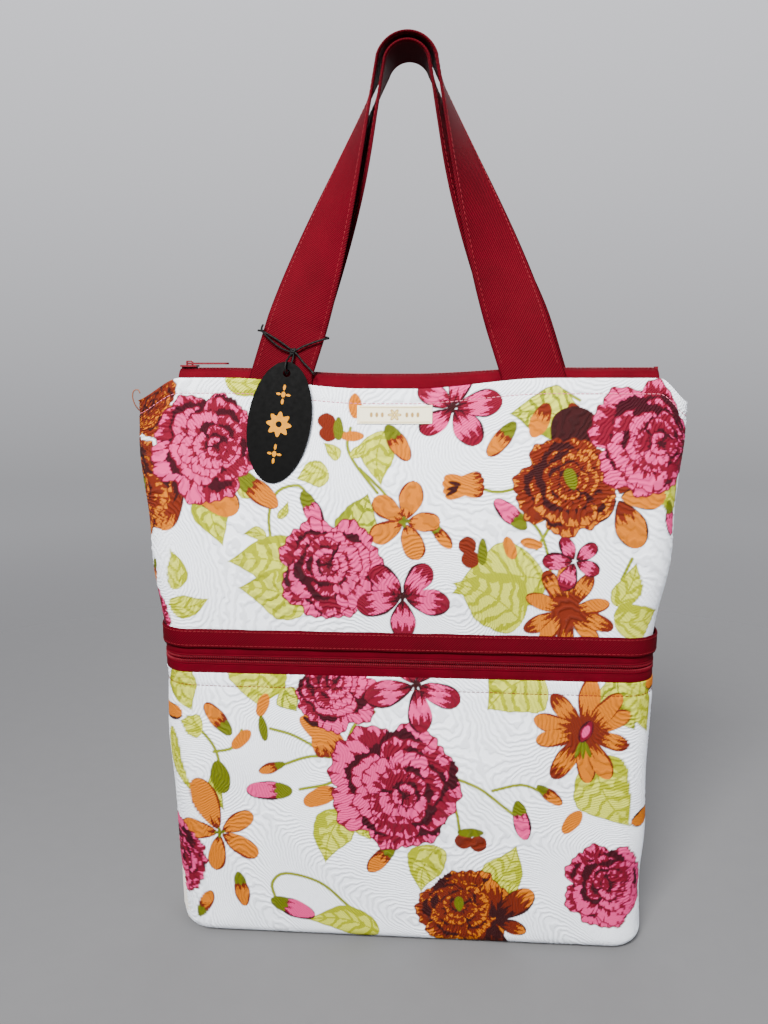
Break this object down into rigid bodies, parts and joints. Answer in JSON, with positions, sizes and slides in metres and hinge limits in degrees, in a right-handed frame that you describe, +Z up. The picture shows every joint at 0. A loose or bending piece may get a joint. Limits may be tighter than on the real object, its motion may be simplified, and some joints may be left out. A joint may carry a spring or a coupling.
{
  "type": "knitting bag",
  "caption": "Tall floral cloth tote for knitting with a zipped mouth, a zip round the middle that lets it grow taller, and webbing handles.",
  "frame": {"origin": "on the ground under the middle of the base", "axes": "+Z up, -Y out of the front, +X to the right of someone who looks at the front"},
  "size_m": [0.366, 0.071, 0.6008],
  "materials": {
    "floral_cloth": "white quilted jacquard printed with pink, crimson, orange, brown and yellow-green flowers",
    "lining_cloth": "plain light woven lining",
    "red_webbing": "dark red herringbone webbing",
    "red_tape": "dark red woven zip tape",
    "red_coil": "dark red nylon coil",
    "red_slider": "dark red enamelled metal",
    "label_weave": "cream woven ribbon",
    "black_card": "black coated card with a plain gold line ornament",
    "black_cord": "black twisted cord"
  },
  "bodies": {
    "lower_body": {"lower_front_panel": "floral_cloth", "lower_back_panel": "floral_cloth", "base_panel": "floral_cloth", "lower_lining": "lining_cloth", "mid_tape_lower": "red_tape", "mid_coil_lower": "red_coil", "mid_zip_end_tab": "red_webbing", "expansion_panel": "floral_cloth"},
    "upper_body": {"upper_front_panel": "floral_cloth", "upper_back_panel": "floral_cloth", "upper_lining": "lining_cloth", "band_webbing": "red_webbing", "mid_tape_upper": "red_tape", "mid_coil_upper": "red_coil", "woven_label": "label_weave", "front_left_strap_end": "red_webbing", "front_right_strap_end": "red_webbing", "back_left_strap_end": "red_webbing", "back_right_strap_end": "red_webbing"},
    "mouth_front": {"top_tape_front": "red_tape", "top_coil_front": "red_coil", "top_zip_stop": "red_slider"},
    "mouth_back": {"top_tape_back": "red_tape", "top_coil_back": "red_coil"},
    "top_slider": {"top_slider": "red_slider"},
    "top_pull": {"top_pull": "red_slider"},
    "mid_slider": {"mid_slider": "red_slider"},
    "mid_pull": {"mid_pull": "red_slider"},
    "front_handle": {"front_handle": "red_webbing", "cord_loop": "black_cord", "cord_knot": "black_cord", "cord_tail_left": "black_cord", "cord_tail_right": "black_cord"},
    "back_handle": {"back_handle": "red_webbing"},
    "hang_tag": {"hang_tag": "black_card", "cord_hanger": "black_cord"}
  },
  "joints": [
    {"name": "expansion", "type": "slide", "parent": "lower_body", "child": "upper_body", "axis": [0, 0, 1], "range_m": [0, 0.11], "deforming": ["expansion_panel"]},
    {"name": "mouth_front_fold", "type": "hinge", "parent": "upper_body", "child": "mouth_front", "pos_m": [0, -0.0094, 0.3925], "axis": [1, 0, 0], "range_deg": [0, 30]},
    {"name": "mouth_back_fold", "type": "hinge", "parent": "upper_body", "child": "mouth_back", "pos_m": [0, 0.0094, 0.3925], "axis": [-1, 0, 0], "range_deg": [0, 30]},
    {"name": "top_slider_slide", "type": "slide", "parent": "mouth_front", "child": "top_slider", "axis": [1, 0, 0], "range_m": [0, 0.298]},
    {"name": "top_pull_flip", "type": "hinge", "parent": "top_slider", "child": "top_pull", "pos_m": [-0.147, 0, 0.4015], "axis": [0, -1, 0], "range_deg": [0, 180]},
    {"name": "mid_slider_slide", "type": "slide", "parent": "lower_body", "child": "mid_slider", "axis": [1, 0, 0], "range_m": [0, 0.264]},
    {"name": "mid_pull_flip", "type": "hinge", "parent": "mid_slider", "child": "mid_pull", "pos_m": [-0.132, 0.0265, 0.201], "axis": [0, 0, -1], "range_deg": [0, 180]},
    {"name": "front_handle_swing", "type": "hinge", "parent": "upper_body", "child": "front_handle", "pos_m": [0, -0.0146, 0.393], "axis": [1, 0, 0], "range_deg": [0, 120]},
    {"name": "back_handle_swing", "type": "hinge", "parent": "upper_body", "child": "back_handle", "pos_m": [0, 0.0146, 0.393], "axis": [-1, 0, 0], "range_deg": [0, 160]},
    {"name": "tag_swing", "type": "hinge", "parent": "front_handle", "child": "hang_tag", "pos_m": [-0.074, -0.0134, 0.409], "axis": [1, 0, 0], "range_deg": [-120, 0]}
  ],
  "couplings": [
    {"joint": "mouth_back_fold", "follows": "mouth_front_fold", "ratio": 1},
    {"joint": "tag_swing", "follows": "front_handle_swing", "ratio": -1}
  ]
}
